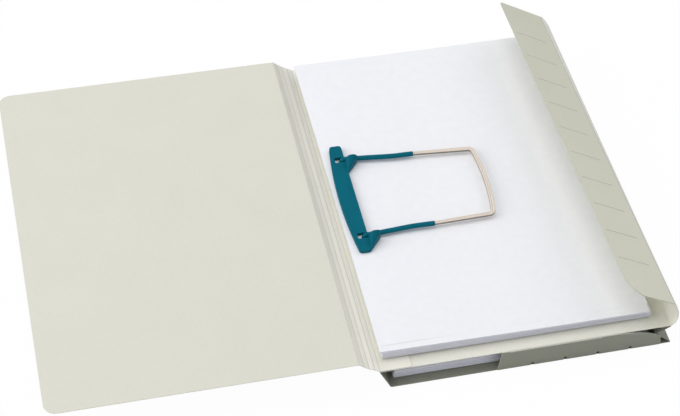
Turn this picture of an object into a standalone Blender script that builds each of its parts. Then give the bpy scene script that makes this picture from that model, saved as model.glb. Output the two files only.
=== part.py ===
"""A4 flap folder lying open: card cover, creased spine, panel with a two-prong clip, raised flap and rear pocket."""

import math

import bmesh
import bpy
from mathutils import Matrix, Vector

# Driving sizes in millimetres. X runs across the sheet from the spine, Y along the spine, Z up from the table.
MM = 0.001
SHEET_LENGTH = 318.0
CARD = 0.5
GAP = 0.3
CREASE_SETBACK = 0.45
FOLDED_SETBACK = 1.2

BACK_LEFT = 9.7
PANEL_INSET = 3.0
PANEL_HEIGHT = 21.25

COVER_WIDTH = 229.0
COVER_CORNER = 9.0
STRIP_WIDTH = 5.1
STRIP_SLOPES = (34.0, 32.0, 38.0, 44.0)
FLANGE_WIDTH = 24.3
TAB_WIDTH = 8.0

WALL_FRONT_PROFILE = ((2.2, 2.8), (3.4, 9.3), (2.2, 16.3), (-1.2, 25.3))
WALL_TOP_FRONT = (-2.6, 27.1)
WALL_BACK_PROFILE = ((1.0, 3.2), (0.4, 9.3), (-2.5, 16.3), (-8.6, 25.6))
WALL_TOP_BACK = (-10.6, 27.1)
FLAP_WIDTH = 46.7
FLAP_RISE = 31.9
FLAP_FRONT_CORNER = 18.0
FLAP_BACK_CORNER = 3.0

GUSSET_REACH = 13.8
GUSSET_FOLD_HEIGHT = 13.0
GUSSET_FOLD_CLEARANCE = 0.8

BOTTOM_FLAP_LEFT = 92.2
BOTTOM_FLAP_INSET = 8.6
BOTTOM_FLAP_HEIGHT = 22.0
BOTTOM_FLAP_SLANT = 5.0
BOTTOM_FLAP_CORNER = 10.0
BOTTOM_FLAP_CREASE = -0.8
NICK_COUNT = 4
NICK_FIRST = 119.7
NICK_SPACING = 26.0
NICK_WIDTH = 2.4
NICK_DEPTH = 2.0

PAPER_WIDTH = 210.0
PAPER_LENGTH = 297.0
PAPER_LEFT = 2.2
PAPER_BOTTOM = 10.0
PUNCH_OFFSET = 0.7
PAPER_CLEARANCE = 4.0
FILED_THICKNESS = 10.2
FILED_TURN = -0.1
SHEET_THICKNESS = 0.25
TOP_SHEET_TURN = 0.1
PAPER_CORNER = 0.6
HOLE_MARGIN = 13.0
HOLE_SPACING = 80.0
PAPER_HOLE = 6.0

LOOSE_LEFT = 13.2
LOOSE_BOTTOM = 7.2
LOOSE_WIDTH = 200.0
LOOSE_THICKNESS = 12.0

BASE_WIDTH = 10.0
BASE_THICKNESS = 1.5
TUBE_DIAMETER = 4.0
TUBE_HOLE = 5.0
TUBE_SOCKET = 4.7
ARM_END = 72.4
ARM_BEND_START = 22.0
ARM_BEND_END = 55.4
BOW_TURN = -1.1
BOW_LEG_SPACING = 74.4
BORE = 2.6
BORE_DEPTH = 16.5
SPIGOT = 2.0
SPIGOT_LENGTH = 15.0

BAR_LENGTH = 110.2
BAR_THICKNESS = 3.0
BAR_RIGHT = 2.8
BAR_END_WIDTH = 9.5
BAR_BULGE = 4.2
BAR_CORNER = 2.5
BAR_EDGE = 0.4
BAR_SLOT_LEFT = 5.4
BAR_SLOT_WIDTH = 5.4
CHANNEL_WIDTH = 5.0
CHANNEL_DEPTH = 2.3
WING_REACH = 9.4
WING_LENGTH = 12.0
WING_RISE = 8.4
WING_LEFT = 0.8
WING_ROUNDING = 4.0
WING_CLEARANCE = 1.2

BOW_WIDTH = 3.8
BOW_THICKNESS = 2.4
BOW_REACH = 50.4
BOW_TAPER = 2.4
BOW_SAG = 3.0
BOW_CORNER = 3.5
BOW_EDGE = 0.5

ARC_STEPS = 8
ROUND_STEPS = 20
PROFILE_STEPS = 4

# Heights and places that follow from the sizes above.
PAPERS_RIGHT = max(LOOSE_LEFT + LOOSE_WIDTH, PAPER_LEFT + PAPER_WIDTH)
GUSSET_FOLD = (PAPERS_RIGHT + PAPER_CLEARANCE, GUSSET_FOLD_HEIGHT)
BACK_RIGHT = GUSSET_FOLD[0] + GUSSET_REACH
PANEL_RIGHT = BACK_RIGHT - PANEL_INSET
BOTTOM_FLAP_RIGHT = BACK_RIGHT - BOTTOM_FLAP_INSET
BACK_HEIGHT = CARD / 2
LAYER = CARD + GAP
TAB_HEIGHT = PANEL_HEIGHT - LAYER
FLANGE_HEIGHT = PANEL_HEIGHT + LAYER
WALL_CREASE_X = 0.2
FILED_BASE = FLANGE_HEIGHT + CARD / 2 + GAP
SHEET_BASE = FILED_BASE + FILED_THICKNESS + GAP
BAR_BASE = SHEET_BASE + SHEET_THICKNESS + GAP
BAR_TOP = BAR_BASE + BAR_THICKNESS
ARM_HEIGHT = BAR_TOP - CHANNEL_DEPTH + GAP + TUBE_DIAMETER / 2
BASE_TOP = PANEL_HEIGHT - CARD / 2 - GAP
CLIP_X = PAPER_LEFT + HOLE_MARGIN
CLIP_Y = PAPER_BOTTOM + PAPER_LENGTH / 2 - PUNCH_OFFSET
TUBE_YS = (CLIP_Y + HOLE_SPACING / 2, CLIP_Y - HOLE_SPACING / 2)
ORIGIN_X = (BACK_LEFT + BACK_RIGHT) / 2
ORIGIN_Y = SHEET_LENGTH / 2

CARD_COLOUR = (0.72, 0.72, 0.63, 1.0)
POCKET_COLOUR = (0.60, 0.61, 0.53, 1.0)
PAPER_COLOUR = (0.87, 0.88, 0.90, 1.0)
TEAL_COLOUR = (0.008, 0.14, 0.20, 1.0)
CREAM_COLOUR = (0.68, 0.60, 0.48, 1.0)

for old in list(bpy.data.objects):
    bpy.data.objects.remove(old, do_unlink=True)

parts = bpy.data.collections.new("flap_folder")
cutters = bpy.data.collections.new("flap_folder_cutters")
cutters.hide_render = True
bpy.context.scene.collection.children.link(parts)
bpy.context.scene.collection.children.link(cutters)


def place(x, y, z):
    """A point of the sheet's frame, in metres from the middle of the back cover's underside."""
    return Vector((x - ORIGIN_X, y - ORIGIN_Y, z)) * MM


def finish(obj, name, colour, roughness):
    """Names the object and gives it a material of its own."""
    obj.name = name
    obj.data.name = name
    material = bpy.data.materials.new(name)
    material.use_nodes = True
    shader = material.node_tree.nodes["Principled BSDF"]
    shader.inputs["Base Color"].default_value = colour
    shader.inputs["Roughness"].default_value = roughness
    obj.data.materials.clear()
    obj.data.materials.append(material)
    return obj


def arc_points(centre, radius, start, end, steps):
    """Points on an arc, with both of its ends."""
    points = []
    for step in range(steps + 1):
        angle = start + (end - start) * step / steps
        points.append((centre[0] + radius * math.cos(angle), centre[1] + radius * math.sin(angle)))
    return points


def rounded(corners):
    """A closed outline from (x, y, radius) corners, each rounded by an arc that touches both sides."""
    outline = []
    count = len(corners)
    for index, (x, y, radius) in enumerate(corners):
        here = Vector((x, y))
        back = (Vector(corners[index - 1][:2]) - here).normalized()
        ahead = (Vector(corners[(index + 1) % count][:2]) - here).normalized()
        if radius <= 0:
            outline.append((x, y))
            continue
        half = back.angle(ahead) / 2
        centre = here + (back + ahead).normalized() * (radius / math.sin(half))
        first = here + back * (radius / math.tan(half)) - centre
        last = here + ahead * (radius / math.tan(half)) - centre
        start = math.atan2(first.y, first.x)
        turn = (math.atan2(last.y, last.x) - start + math.pi) % (2 * math.pi) - math.pi
        outline += arc_points(centre, radius, start, start + turn, ARC_STEPS)
    return outline


def circle(x, y, diameter):
    """A round hole's outline."""
    return arc_points((x, y), diameter / 2, 0, 2 * math.pi, ROUND_STEPS)[:-1]


def sheet(name, outlines, thickness, matrix, collection=parts):
    """A plate cut to a flat outline; any later outline is a hole in it. Outlines are in millimetres."""
    curve = bpy.data.curves.new(name, "CURVE")
    curve.dimensions = "2D"
    curve.fill_mode = "BOTH"
    curve.extrude = thickness * MM / 2
    for outline in outlines:
        spline = curve.splines.new("POLY")
        spline.points.add(len(outline) - 1)
        for point, (x, y) in zip(spline.points, outline):
            point.co = (x * MM, y * MM, 0.0, 1.0)
        spline.use_cyclic_u = True
    guide = bpy.data.objects.new(name + "_outline", curve)
    bpy.context.scene.collection.objects.link(guide)
    graph = bpy.context.evaluated_depsgraph_get()
    mesh = bpy.data.meshes.new_from_object(guide.evaluated_get(graph))
    bpy.data.objects.remove(guide, do_unlink=True)
    return closed_object(name, mesh, matrix, collection)


def closed_object(name, mesh, matrix, collection):
    """Welds a mesh, turns its faces outward and puts it in the scene."""
    work = bmesh.new()
    work.from_mesh(mesh)
    bmesh.ops.remove_doubles(work, verts=work.verts, dist=1e-6)
    bmesh.ops.recalc_face_normals(work, faces=work.faces)
    work.to_mesh(mesh)
    work.free()
    obj = bpy.data.objects.new(name, mesh)
    obj.matrix_world = matrix
    collection.objects.link(obj)
    return obj


def flat_card(name, outlines, height, colour, origin=None):
    """A level plate of card. Outlines are in the sheet's frame; origin is where the object's own axes sit."""
    ox, oy = origin or (ORIGIN_X, ORIGIN_Y)
    moved = [[(x - ox, y - oy) for x, y in outline] for outline in outlines]
    obj = sheet(name, moved, CARD, Matrix.Translation(place(ox, oy, height)))
    return finish(obj, name, colour, 0.85)


def ribbon(points, thickness):
    """The outline of a thin strip seen end on, from the points along its middle."""
    left = []
    right = []
    for index, point in enumerate(points):
        before = Vector(points[max(index - 1, 0)])
        after = Vector(points[min(index + 1, len(points) - 1)])
        along = (after - before).normalized()
        across = Vector((-along.y, along.x)) * thickness / 2
        left.append(tuple(Vector(point) + across))
        right.append(tuple(Vector(point) - across))
    return left + right[::-1]


def crease_strip(name, start, end, colour, first_setback, last_setback):
    """A flat strip between two crease lines that run along the sheet; its origin lies on the first."""
    along = (Vector(end) - Vector(start)).normalized()
    length = (Vector(end) - Vector(start)).length
    near = along * first_setback
    far = along * (length - last_setback)
    turn = Matrix.Translation(place(start[0], ORIGIN_Y, start[1])) @ Matrix.Rotation(math.pi / 2, 4, "X")
    obj = sheet(name, [ribbon([tuple(near), tuple(far)], CARD)], SHEET_LENGTH, turn)
    return finish(obj, name, colour, 0.85)


def cut(obj, cutter, operation="DIFFERENCE"):
    """Applies an exact Boolean, so the object keeps one plain closed mesh."""
    modifier = obj.modifiers.new(cutter.name, "BOOLEAN")
    modifier.operation = operation
    modifier.solver = "EXACT"
    modifier.object = cutter
    graph = bpy.context.evaluated_depsgraph_get()
    mesh = bpy.data.meshes.new_from_object(obj.evaluated_get(graph))
    obj.modifiers.remove(modifier)
    obj.data = mesh
    cutter.display_type = "WIRE"
    cutter.hide_render = True


def bevel(obj, width):
    """Rounds an object's sharp edges a little."""
    modifier = obj.modifiers.new("rounded edges", "BEVEL")
    modifier.width = width * MM
    modifier.segments = 2
    modifier.limit_method = "ANGLE"
    modifier.angle_limit = math.radians(50)
    graph = bpy.context.evaluated_depsgraph_get()
    mesh = bpy.data.meshes.new_from_object(obj.evaluated_get(graph))
    obj.modifiers.remove(modifier)
    obj.data = mesh


def cylinder(name, diameter, start, end, collection):
    """A round bar between two points of the sheet's frame, its own origin at the start."""
    work = bmesh.new()
    reach = (Vector(end) - Vector(start)) * MM
    bmesh.ops.create_cone(
        work,
        cap_ends=True,
        segments=ROUND_STEPS,
        radius1=diameter * MM / 2,
        radius2=diameter * MM / 2,
        depth=reach.length,
        matrix=reach.to_track_quat("Z", "Y").to_matrix().to_4x4() @ Matrix.Translation((0, 0, reach.length / 2)),
    )
    mesh = bpy.data.meshes.new(name)
    work.to_mesh(mesh)
    work.free()
    return closed_object(name, mesh, Matrix.Translation(place(*start)), collection)


# Front cover and the creased spine, cut from one sheet and glued to the panel by a flange.
creases = [(0.0, FLANGE_HEIGHT)]
for slope in STRIP_SLOPES:
    x, z = creases[-1]
    rise = math.radians(slope)
    creases.append((x - STRIP_WIDTH * math.cos(rise), z + STRIP_WIDTH * math.sin(rise)))
for index in range(len(STRIP_SLOPES)):
    crease_strip(
        f"spine_strip_{index + 1}", creases[index], creases[index + 1], CARD_COLOUR, CREASE_SETBACK, CREASE_SETBACK
    )
cover_x, cover_z = creases[-1]
flat_card(
    "front_cover",
    [
        rounded(
            [
                (cover_x - COVER_WIDTH, 0, COVER_CORNER),
                (cover_x - CREASE_SETBACK, 0, 0),
                (cover_x - CREASE_SETBACK, SHEET_LENGTH, 0),
                (cover_x - COVER_WIDTH, SHEET_LENGTH, COVER_CORNER),
            ]
        )
    ],
    cover_z,
    CARD_COLOUR,
    (cover_x, ORIGIN_Y),
)


def strip_outline(left, right, near=0.0, far=SHEET_LENGTH):
    """A plain rectangle of card between two places across the sheet."""
    return [(left, near), (right, near), (right, far), (left, far)]


tube_holes = [circle(CLIP_X, y, TUBE_HOLE) for y in TUBE_YS]
panel_hinge = (WALL_CREASE_X, ORIGIN_Y)
flat_card(
    "spine_flange", [strip_outline(CREASE_SETBACK, FLANGE_WIDTH)] + tube_holes, FLANGE_HEIGHT, CARD_COLOUR
)
flat_card(
    "clip_panel",
    [strip_outline(CREASE_SETBACK, PANEL_RIGHT - CREASE_SETBACK)] + tube_holes,
    PANEL_HEIGHT,
    CARD_COLOUR,
    panel_hinge,
)

# Rear pocket: back cover, spine-side wall, folded gusset and their glued tabs under the panel.
flat_card(
    "back_cover",
    [strip_outline(BACK_LEFT + CREASE_SETBACK, BACK_RIGHT - CREASE_SETBACK, BOTTOM_FLAP_CREASE + CREASE_SETBACK)],
    BACK_HEIGHT,
    POCKET_COLOUR,
)
wall_base = (BACK_LEFT, BACK_HEIGHT)
wall_crease = (WALL_CREASE_X, TAB_HEIGHT)
crease_strip("pocket_wall", wall_base, wall_crease, POCKET_COLOUR, CREASE_SETBACK, CREASE_SETBACK + GAP)
flat_card(
    "pocket_wall_tab",
    [strip_outline(WALL_CREASE_X + CREASE_SETBACK, WALL_CREASE_X + TAB_WIDTH)],
    TAB_HEIGHT,
    POCKET_COLOUR,
    panel_hinge,
)
gusset_base = (BACK_RIGHT, BACK_HEIGHT)
gusset_crease = (PANEL_RIGHT, TAB_HEIGHT)
crease_strip("gusset_lower", gusset_base, GUSSET_FOLD, POCKET_COLOUR, FOLDED_SETBACK, GUSSET_FOLD_CLEARANCE)
crease_strip("gusset_upper", gusset_crease, GUSSET_FOLD, POCKET_COLOUR, FOLDED_SETBACK, GUSSET_FOLD_CLEARANCE)
flat_card(
    "gusset_tab",
    [strip_outline(PANEL_RIGHT - TAB_WIDTH, PANEL_RIGHT - CREASE_SETBACK)],
    TAB_HEIGHT,
    POCKET_COLOUR,
    panel_hinge,
)

# Bottom flap of the pocket, standing in front of the panel's edge, with nicks along its fold.
flap_foot = BACK_HEIGHT + CREASE_SETBACK
flap_outline = [(BOTTOM_FLAP_LEFT, flap_foot, 0)]
for index in range(NICK_COUNT):
    nick = NICK_FIRST + index * NICK_SPACING
    for x, z in (
        (nick - NICK_WIDTH / 2, flap_foot),
        (nick - NICK_WIDTH / 2, flap_foot + NICK_DEPTH),
        (nick + NICK_WIDTH / 2, flap_foot + NICK_DEPTH),
        (nick + NICK_WIDTH / 2, flap_foot),
    ):
        flap_outline.append((x, z, 0))
flap_outline += [
    (BOTTOM_FLAP_RIGHT, flap_foot, 0),
    (BOTTOM_FLAP_RIGHT - BOTTOM_FLAP_SLANT, BOTTOM_FLAP_HEIGHT, BOTTOM_FLAP_CORNER),
    (BOTTOM_FLAP_LEFT + BOTTOM_FLAP_SLANT, BOTTOM_FLAP_HEIGHT, BOTTOM_FLAP_CORNER / 4),
]
flap_middle = (BOTTOM_FLAP_LEFT + BOTTOM_FLAP_RIGHT) / 2
bottom_flap = sheet(
    "bottom_flap",
    [[(x - flap_middle, z - BACK_HEIGHT) for x, z in rounded(flap_outline)]],
    CARD,
    Matrix.Translation(place(flap_middle, BOTTOM_FLAP_CREASE, BACK_HEIGHT)) @ Matrix.Rotation(math.pi / 2, 4, "X"),
)
finish(bottom_flap, "bottom_flap", POCKET_COLOUR, 0.85)


def smooth_profile(points):
    """Points along a Catmull-Rom curve through the given ones."""
    ends = [Vector(points[0]) * 2 - Vector(points[1])]
    ends += [Vector(p) for p in points]
    ends.append(Vector(points[-1]) * 2 - Vector(points[-2]))
    curve = []
    for index in range(1, len(ends) - 2):
        a, b, c, d = ends[index - 1 : index + 3]
        for step in range(PROFILE_STEPS):
            t = step / PROFILE_STEPS
            curve.append(
                (b * 2 + (c - a) * t + (a * 2 - b * 5 + c * 4 - d) * t**2 + (b * 3 - a - c * 3 + d) * t**3) / 2
            )
    curve.append(Vector(points[-1]))
    return curve


def wall_outline(middle, top):
    """One end of the bowed side wall, from just past its panel crease to just short of the flap crease."""
    profile = smooth_profile([(0.0, 0.0)] + list(middle) + [top])
    start = profile[1].normalized() * CREASE_SETBACK
    last = Vector(top) + (profile[-2] - Vector(top)).normalized() * CREASE_SETBACK
    inside = [p for p in profile[1:-1] if p.length > 2 * CREASE_SETBACK]
    return ribbon([tuple(p) for p in [start] + inside + [last]], CARD)


def loft(name, near, far, matrix):
    """A closed solid between two matching outlines at the two ends of the sheet."""
    work = bmesh.new()
    half = SHEET_LENGTH / 2
    rings = []
    for outline, y in ((near, -half), (far, half)):
        rings.append([work.verts.new((x * MM, y * MM, z * MM)) for x, z in outline])
    count = len(near)
    for index in range(count):
        after = (index + 1) % count
        work.faces.new((rings[0][index], rings[0][after], rings[1][after], rings[1][index]))
    across = count // 2
    for ring in rings:
        for index in range(across - 1):
            work.faces.new((ring[index], ring[index + 1], ring[count - 2 - index], ring[count - 1 - index]))
    mesh = bpy.data.meshes.new(name)
    work.to_mesh(mesh)
    work.free()
    return closed_object(name, mesh, matrix, parts)


# Raised side wall, bowed outward and leaning further in at the far end, and the closing flap on top of it.
side_wall = loft(
    "side_wall",
    wall_outline(WALL_FRONT_PROFILE, WALL_TOP_FRONT),
    wall_outline(WALL_BACK_PROFILE, WALL_TOP_BACK),
    Matrix.Translation(place(PANEL_RIGHT, ORIGIN_Y, PANEL_HEIGHT)),
)
finish(side_wall, "side_wall", CARD_COLOUR, 0.85)
flap_x = PANEL_RIGHT + (WALL_TOP_FRONT[0] + WALL_TOP_BACK[0]) / 2
flap_z = PANEL_HEIGHT + (WALL_TOP_FRONT[1] + WALL_TOP_BACK[1]) / 2
flap_skew = math.atan2(WALL_TOP_FRONT[0] - WALL_TOP_BACK[0], SHEET_LENGTH)
flap_half = SHEET_LENGTH / 2
closing_flap = sheet(
    "closing_flap",
    [
        rounded(
            [
                (-FLAP_WIDTH, -flap_half, FLAP_FRONT_CORNER),
                (-CREASE_SETBACK, -flap_half, 0),
                (-CREASE_SETBACK, flap_half, 0),
                (-FLAP_WIDTH, flap_half, FLAP_BACK_CORNER),
            ]
        )
    ],
    CARD,
    Matrix.Translation(place(flap_x, ORIGIN_Y, flap_z))
    @ Matrix.Rotation(flap_skew, 4, "Z")
    @ Matrix.Rotation(math.radians(FLAP_RISE), 4, "Y"),
)
finish(closing_flap, "closing_flap", CARD_COLOUR, 0.85)


def paper_stack(name, thickness, base, turn):
    """Punched A4 sheets, turned a little about the middle of their two holes."""
    near = PUNCH_OFFSET - PAPER_LENGTH / 2
    far = PUNCH_OFFSET + PAPER_LENGTH / 2
    outline = rounded(
        [
            (-HOLE_MARGIN, near, PAPER_CORNER),
            (PAPER_WIDTH - HOLE_MARGIN, near, PAPER_CORNER),
            (PAPER_WIDTH - HOLE_MARGIN, far, PAPER_CORNER),
            (-HOLE_MARGIN, far, PAPER_CORNER),
        ]
    )
    holes = [circle(0, side * HOLE_SPACING / 2, PAPER_HOLE) for side in (1, -1)]
    spot = Matrix.Translation(place(CLIP_X, CLIP_Y, base + thickness / 2))
    spot @= Matrix.Rotation(math.radians(turn), 4, "Z")
    obj = sheet(name, [outline] + holes, thickness, spot)
    return finish(obj, name, PAPER_COLOUR, 0.7)


# Papers: the punched stack on the clip, its top sheet, and loose sheets in the pocket.
paper_stack("filed_papers", FILED_THICKNESS, FILED_BASE, FILED_TURN)
paper_stack("top_sheet", SHEET_THICKNESS, SHEET_BASE, TOP_SHEET_TURN)
loose_base = BACK_HEIGHT + CARD / 2 + GAP
loose_papers = sheet(
    "loose_papers",
    [
        rounded(
            [
                (-LOOSE_WIDTH / 2, -PAPER_LENGTH / 2, PAPER_CORNER),
                (LOOSE_WIDTH / 2, -PAPER_LENGTH / 2, PAPER_CORNER),
                (LOOSE_WIDTH / 2, PAPER_LENGTH / 2, PAPER_CORNER),
                (-LOOSE_WIDTH / 2, PAPER_LENGTH / 2, PAPER_CORNER),
            ]
        )
    ],
    LOOSE_THICKNESS,
    Matrix.Translation(
        place(LOOSE_LEFT + LOOSE_WIDTH / 2, LOOSE_BOTTOM + PAPER_LENGTH / 2, loose_base + LOOSE_THICKNESS / 2)
    ),
)
finish(loose_papers, "loose_papers", PAPER_COLOUR, 0.7)

# Clip: base strip under the panel, two tube prongs up through the papers and a bar that presses on them.
base_half = BAR_LENGTH / 2
clip_base = sheet(
    "clip_base",
    [
        rounded(
            [
                (-BASE_WIDTH / 2, -base_half, BAR_CORNER),
                (BASE_WIDTH / 2, -base_half, BAR_CORNER),
                (BASE_WIDTH / 2, base_half, BAR_CORNER),
                (-BASE_WIDTH / 2, base_half, BAR_CORNER),
            ]
        )
    ]
    + [circle(0, side * HOLE_SPACING / 2, TUBE_SOCKET) for side in (1, -1)],
    BASE_THICKNESS,
    Matrix.Translation(place(CLIP_X, CLIP_Y, BASE_TOP - BASE_THICKNESS / 2)),
)
finish(clip_base, "clip_base", TEAL_COLOUR, 0.35)

bar_left = BAR_RIGHT - BAR_END_WIDTH
bulge_radius = (base_half**2 + BAR_BULGE**2) / (2 * BAR_BULGE)
bulge_angle = math.asin(base_half / bulge_radius)
bulge_centre = (bar_left - BAR_BULGE + bulge_radius, 0.0)
bar_outline = [(BAR_RIGHT, -base_half, BAR_CORNER), (BAR_RIGHT, base_half, BAR_CORNER)]
for x, y in arc_points(bulge_centre, bulge_radius, math.pi - bulge_angle, math.pi + bulge_angle, 2 * ARC_STEPS):
    at_end = abs(y) > base_half - BAR_CORNER / 2
    bar_outline.append((x, y, BAR_CORNER if at_end else 0))
bar_middle = (BAR_BASE + BAR_TOP) / 2
bar_spot = Matrix.Translation(place(CLIP_X, CLIP_Y, bar_middle))
compressor_bar = sheet("compressor_bar", [rounded(bar_outline)], BAR_THICKNESS, bar_spot)
bevel(compressor_bar, BAR_EDGE)
for number, tube_y in enumerate(TUBE_YS, start=1):
    # A hooded wing beside each tube: tall and round next to the tube, running down along the bar.
    wing_foot = BAR_BASE - bar_middle + BAR_EDGE
    top = BAR_TOP - bar_middle
    near = tube_y - CLIP_Y - TUBE_DIAMETER / 2 - WING_CLEARANCE
    far = near - WING_LENGTH
    root_x = BAR_RIGHT - BAR_EDGE * 3
    tip_x = BAR_RIGHT + WING_REACH
    near_outline = rounded(
        [
            (root_x, wing_foot, 0),
            (tip_x, wing_foot, 0),
            (tip_x, top + WING_RISE, WING_ROUNDING),
            (BAR_RIGHT + WING_LEFT, top + WING_RISE, WING_ROUNDING),
        ]
    )
    wing_corners = [(x, near, z) for x, z in near_outline]
    wing_corners += [(root_x, far, wing_foot), (root_x, far, top - BAR_EDGE)]
    work = bmesh.new()
    for corner in wing_corners:
        work.verts.new(Vector(corner) * MM)
    bmesh.ops.convex_hull(work, input=work.verts)
    wing_mesh = bpy.data.meshes.new(f"wing_{number}")
    work.to_mesh(wing_mesh)
    work.free()
    wing = closed_object(f"wing_{number}", wing_mesh, bar_spot, cutters)
    cut(compressor_bar, wing, "UNION")
for number, tube_y in enumerate(TUBE_YS, start=1):
    slot_half = BAR_SLOT_WIDTH / 2
    slot_outline = rounded(
        [
            (-BAR_SLOT_LEFT, -slot_half, slot_half / 2),
            (TUBE_HOLE / 2, -slot_half, slot_half / 2),
            (TUBE_HOLE / 2, slot_half, slot_half / 2),
            (-BAR_SLOT_LEFT, slot_half, slot_half / 2),
        ]
    )
    bar_slot = sheet(
        f"bar_slot_{number}",
        [slot_outline],
        2 * BAR_THICKNESS,
        Matrix.Translation(place(CLIP_X, tube_y, bar_middle)),
        cutters,
    )
    cut(compressor_bar, bar_slot)
    channel = sheet(
        f"bar_channel_{number}",
        [strip_outline(0, 2 * BAR_RIGHT, -CHANNEL_WIDTH / 2, CHANNEL_WIDTH / 2)],
        2 * CHANNEL_DEPTH,
        Matrix.Translation(place(CLIP_X, tube_y, BAR_TOP)),
        cutters,
    )
    cut(compressor_bar, channel)
finish(compressor_bar, "compressor_bar", TEAL_COLOUR, 0.35)

clip_middle = Vector((CLIP_X, CLIP_Y, ARM_HEIGHT))
leg = BOW_LEG_SPACING / 2


def bow_point(along, across):
    """A point of the bow's plane in the sheet's frame. The bow lies a little askew."""
    return clip_middle + Matrix.Rotation(math.radians(BOW_TURN), 4, "Z") @ Vector((along, across, 0))


# Tubes: an upright root through the papers and an arm that lies over them, each arm turning on a ball at the bend.
for number, tube_y in enumerate(TUBE_YS, start=1):
    side = math.copysign(leg, tube_y - CLIP_Y)
    elbow = Vector((CLIP_X, tube_y, ARM_HEIGHT))
    root_top = ARM_HEIGHT - TUBE_DIAMETER / 2 - GAP
    tube_root = cylinder(
        f"tube_root_{number}",
        TUBE_DIAMETER,
        (CLIP_X, tube_y, BASE_TOP - BASE_THICKNESS),
        (CLIP_X, tube_y, root_top),
        parts,
    )
    finish(tube_root, f"tube_root_{number}", TEAL_COLOUR, 0.35)
    path = bpy.data.curves.new(f"tube_path_{number}", "CURVE")
    path.dimensions = "3D"
    path.bevel_depth = TUBE_DIAMETER * MM / 2
    path.bevel_resolution = 4
    path.use_fill_caps = True
    line = path.splines.new("POLY")
    stations = [
        elbow,
        elbow + Vector((ARM_BEND_START - CLIP_X, 0, 0)),
        bow_point(ARM_BEND_END - CLIP_X, side),
        bow_point(ARM_END - CLIP_X, side),
    ]
    line.points.add(len(stations) - 1)
    for point, station in zip(line.points, stations):
        point.co = (*((station - elbow) * MM), 1.0)
    guide = bpy.data.objects.new(f"tube_path_{number}", path)
    bpy.context.scene.collection.objects.link(guide)
    graph = bpy.context.evaluated_depsgraph_get()
    arm_mesh = bpy.data.meshes.new_from_object(guide.evaluated_get(graph))
    bpy.data.objects.remove(guide, do_unlink=True)
    arm_spot = Matrix.Translation(place(*elbow))
    arm = closed_object(f"tube_arm_{number}", arm_mesh, arm_spot, parts)
    work = bmesh.new()
    bmesh.ops.create_uvsphere(
        work, u_segments=ROUND_STEPS, v_segments=ROUND_STEPS // 2, radius=TUBE_DIAMETER * MM / 2
    )
    ball_mesh = bpy.data.meshes.new(f"tube_ball_{number}")
    work.to_mesh(ball_mesh)
    work.free()
    ball = closed_object(f"tube_ball_{number}", ball_mesh, arm_spot, cutters)
    cut(arm, ball, "UNION")
    bore = cylinder(
        f"tube_bore_{number}",
        BORE,
        bow_point(ARM_END - CLIP_X - BORE_DEPTH, side),
        bow_point(ARM_END - CLIP_X + 1, side),
        cutters,
    )
    cut(arm, bore)
    finish(arm, f"tube_arm_{number}", TEAL_COLOUR, 0.35)

# The bow: a flat U whose two spigots slide in the arms, so the prongs can be joined or parted.
outer = leg + BOW_WIDTH / 2
inner = leg - BOW_WIDTH / 2
sag_steps = [step / ARC_STEPS for step in range(1, ARC_STEPS)]
outer_end = outer - BOW_TAPER
inner_end = inner - BOW_TAPER
inner_reach = BOW_REACH - BOW_WIDTH
bow_outline = [(GAP, -outer, 0), (BOW_REACH, -outer_end, BOW_CORNER)]
for part_way in sag_steps:
    y = outer_end * (2 * part_way - 1)
    bow_outline.append((BOW_REACH + BOW_SAG * (1 - (y / outer_end) ** 2), y, 0))
bow_outline += [(BOW_REACH, outer_end, BOW_CORNER), (GAP, outer, 0), (GAP, inner, 0)]
bow_outline.append((inner_reach, inner_end, BOW_CORNER / 2))
for part_way in sag_steps:
    y = inner_end * (1 - 2 * part_way)
    bow_outline.append((inner_reach + BOW_SAG * (1 - (y / inner_end) ** 2), y, 0))
bow_outline += [(inner_reach, -inner_end, BOW_CORNER / 2), (GAP, -inner, 0)]
u_bow = sheet(
    "u_bow",
    [rounded(bow_outline)],
    BOW_THICKNESS,
    Matrix.Translation(place(*bow_point(ARM_END - CLIP_X, 0))) @ Matrix.Rotation(math.radians(BOW_TURN), 4, "Z"),
)
bevel(u_bow, BOW_EDGE)
for number, side in enumerate((1, -1), start=1):
    spigot = cylinder(
        f"bow_spigot_{number}",
        SPIGOT,
        bow_point(ARM_END - CLIP_X - SPIGOT_LENGTH, side * leg),
        bow_point(ARM_END - CLIP_X + BOW_WIDTH, side * leg),
        cutters,
    )
    cut(u_bow, spigot, "UNION")
finish(u_bow, "u_bow", CREAM_COLOUR, 0.45)
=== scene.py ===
"""The flap folder's looks: card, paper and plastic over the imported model, with floor, light and camera."""

import math
import random

import bmesh
import bpy
from mathutils import Matrix, Vector


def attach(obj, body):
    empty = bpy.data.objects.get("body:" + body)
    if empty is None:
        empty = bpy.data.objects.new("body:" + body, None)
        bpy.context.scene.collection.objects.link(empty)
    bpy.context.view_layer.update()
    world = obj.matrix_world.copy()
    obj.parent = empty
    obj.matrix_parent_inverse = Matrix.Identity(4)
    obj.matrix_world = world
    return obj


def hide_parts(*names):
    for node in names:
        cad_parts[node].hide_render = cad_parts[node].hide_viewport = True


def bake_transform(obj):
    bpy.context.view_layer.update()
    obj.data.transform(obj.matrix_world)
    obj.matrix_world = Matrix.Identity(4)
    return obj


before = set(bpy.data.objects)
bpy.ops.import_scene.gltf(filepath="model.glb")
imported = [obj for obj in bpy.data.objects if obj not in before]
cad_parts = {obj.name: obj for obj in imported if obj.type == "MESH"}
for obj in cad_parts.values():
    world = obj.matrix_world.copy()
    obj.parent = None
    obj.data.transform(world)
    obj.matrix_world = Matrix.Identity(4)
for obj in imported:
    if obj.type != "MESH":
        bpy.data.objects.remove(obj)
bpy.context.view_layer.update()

# Sizes in millimetres that follow the part's source. X runs across from the spine, Y along it, Z up.
MM = 0.001
ORIGIN_X = 120.35
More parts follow.
